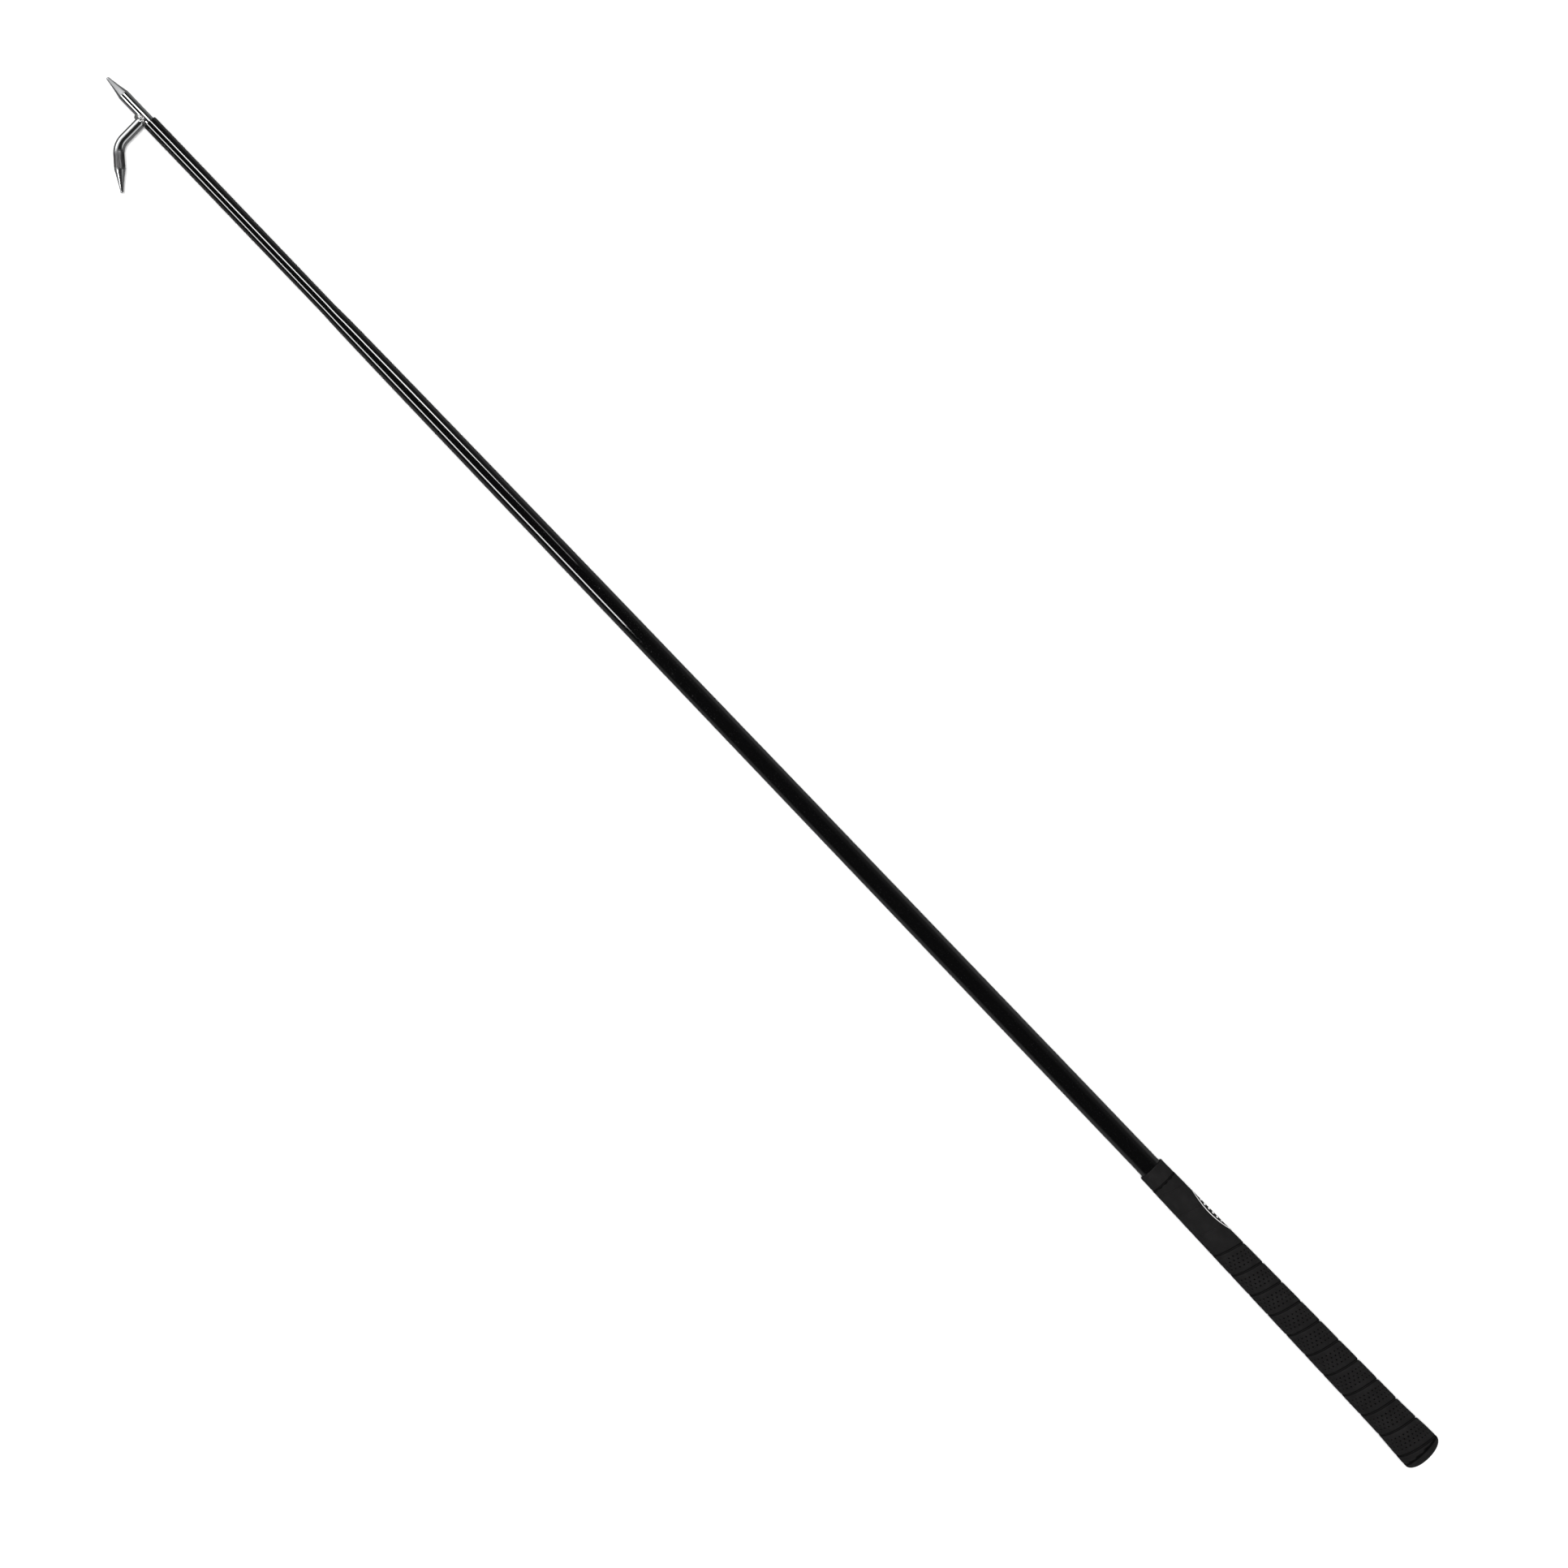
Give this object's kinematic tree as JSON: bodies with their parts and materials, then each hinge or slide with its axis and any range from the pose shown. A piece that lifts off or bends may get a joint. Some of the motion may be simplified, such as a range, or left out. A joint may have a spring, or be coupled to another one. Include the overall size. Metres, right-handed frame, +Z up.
{
  "type": "cattle show stick",
  "caption": "Slim tapered black stick with a plated steel spike and welded side hook at its tip and a spirally wrapped grip at its butt, for placing show cattle.",
  "frame": {"origin": "on the stick's axis, in the plane of the flat land on the end cap (the middle of the butt end)", "axes": "+X along the stick from the butt to the spike's point, +Y the side that the hook stands out on, +Z up as the stick lies flat"},
  "size_m": [1.2192, 0.0581, 0.0274],
  "materials": {
    "tube_gloss": "black gloss coat on a fibre composite tube",
    "bright_steel": "bright plated steel rod",
    "weld_steel": "plated weld bead, lumpy",
    "epoxy": "cured amber epoxy",
    "wrap_black": "matt charcoal perforated polyurethane strip",
    "rubber_black": "matt black moulded rubber",
    "tape": "buff double-sided grip tape"
  },
  "bodies": {
    "root": {"shaft_tube": "tube_gloss", "spike_pin": "bright_steel", "hook": "bright_steel", "hook_weld": "weld_steel", "tang_bond": "epoxy", "grip_tape": "tape", "grip_underlisting": "rubber_black", "grip_wrap": "wrap_black", "grip_collar": "rubber_black", "grip_end_cap": "rubber_black"}
  },
  "joints": []
}
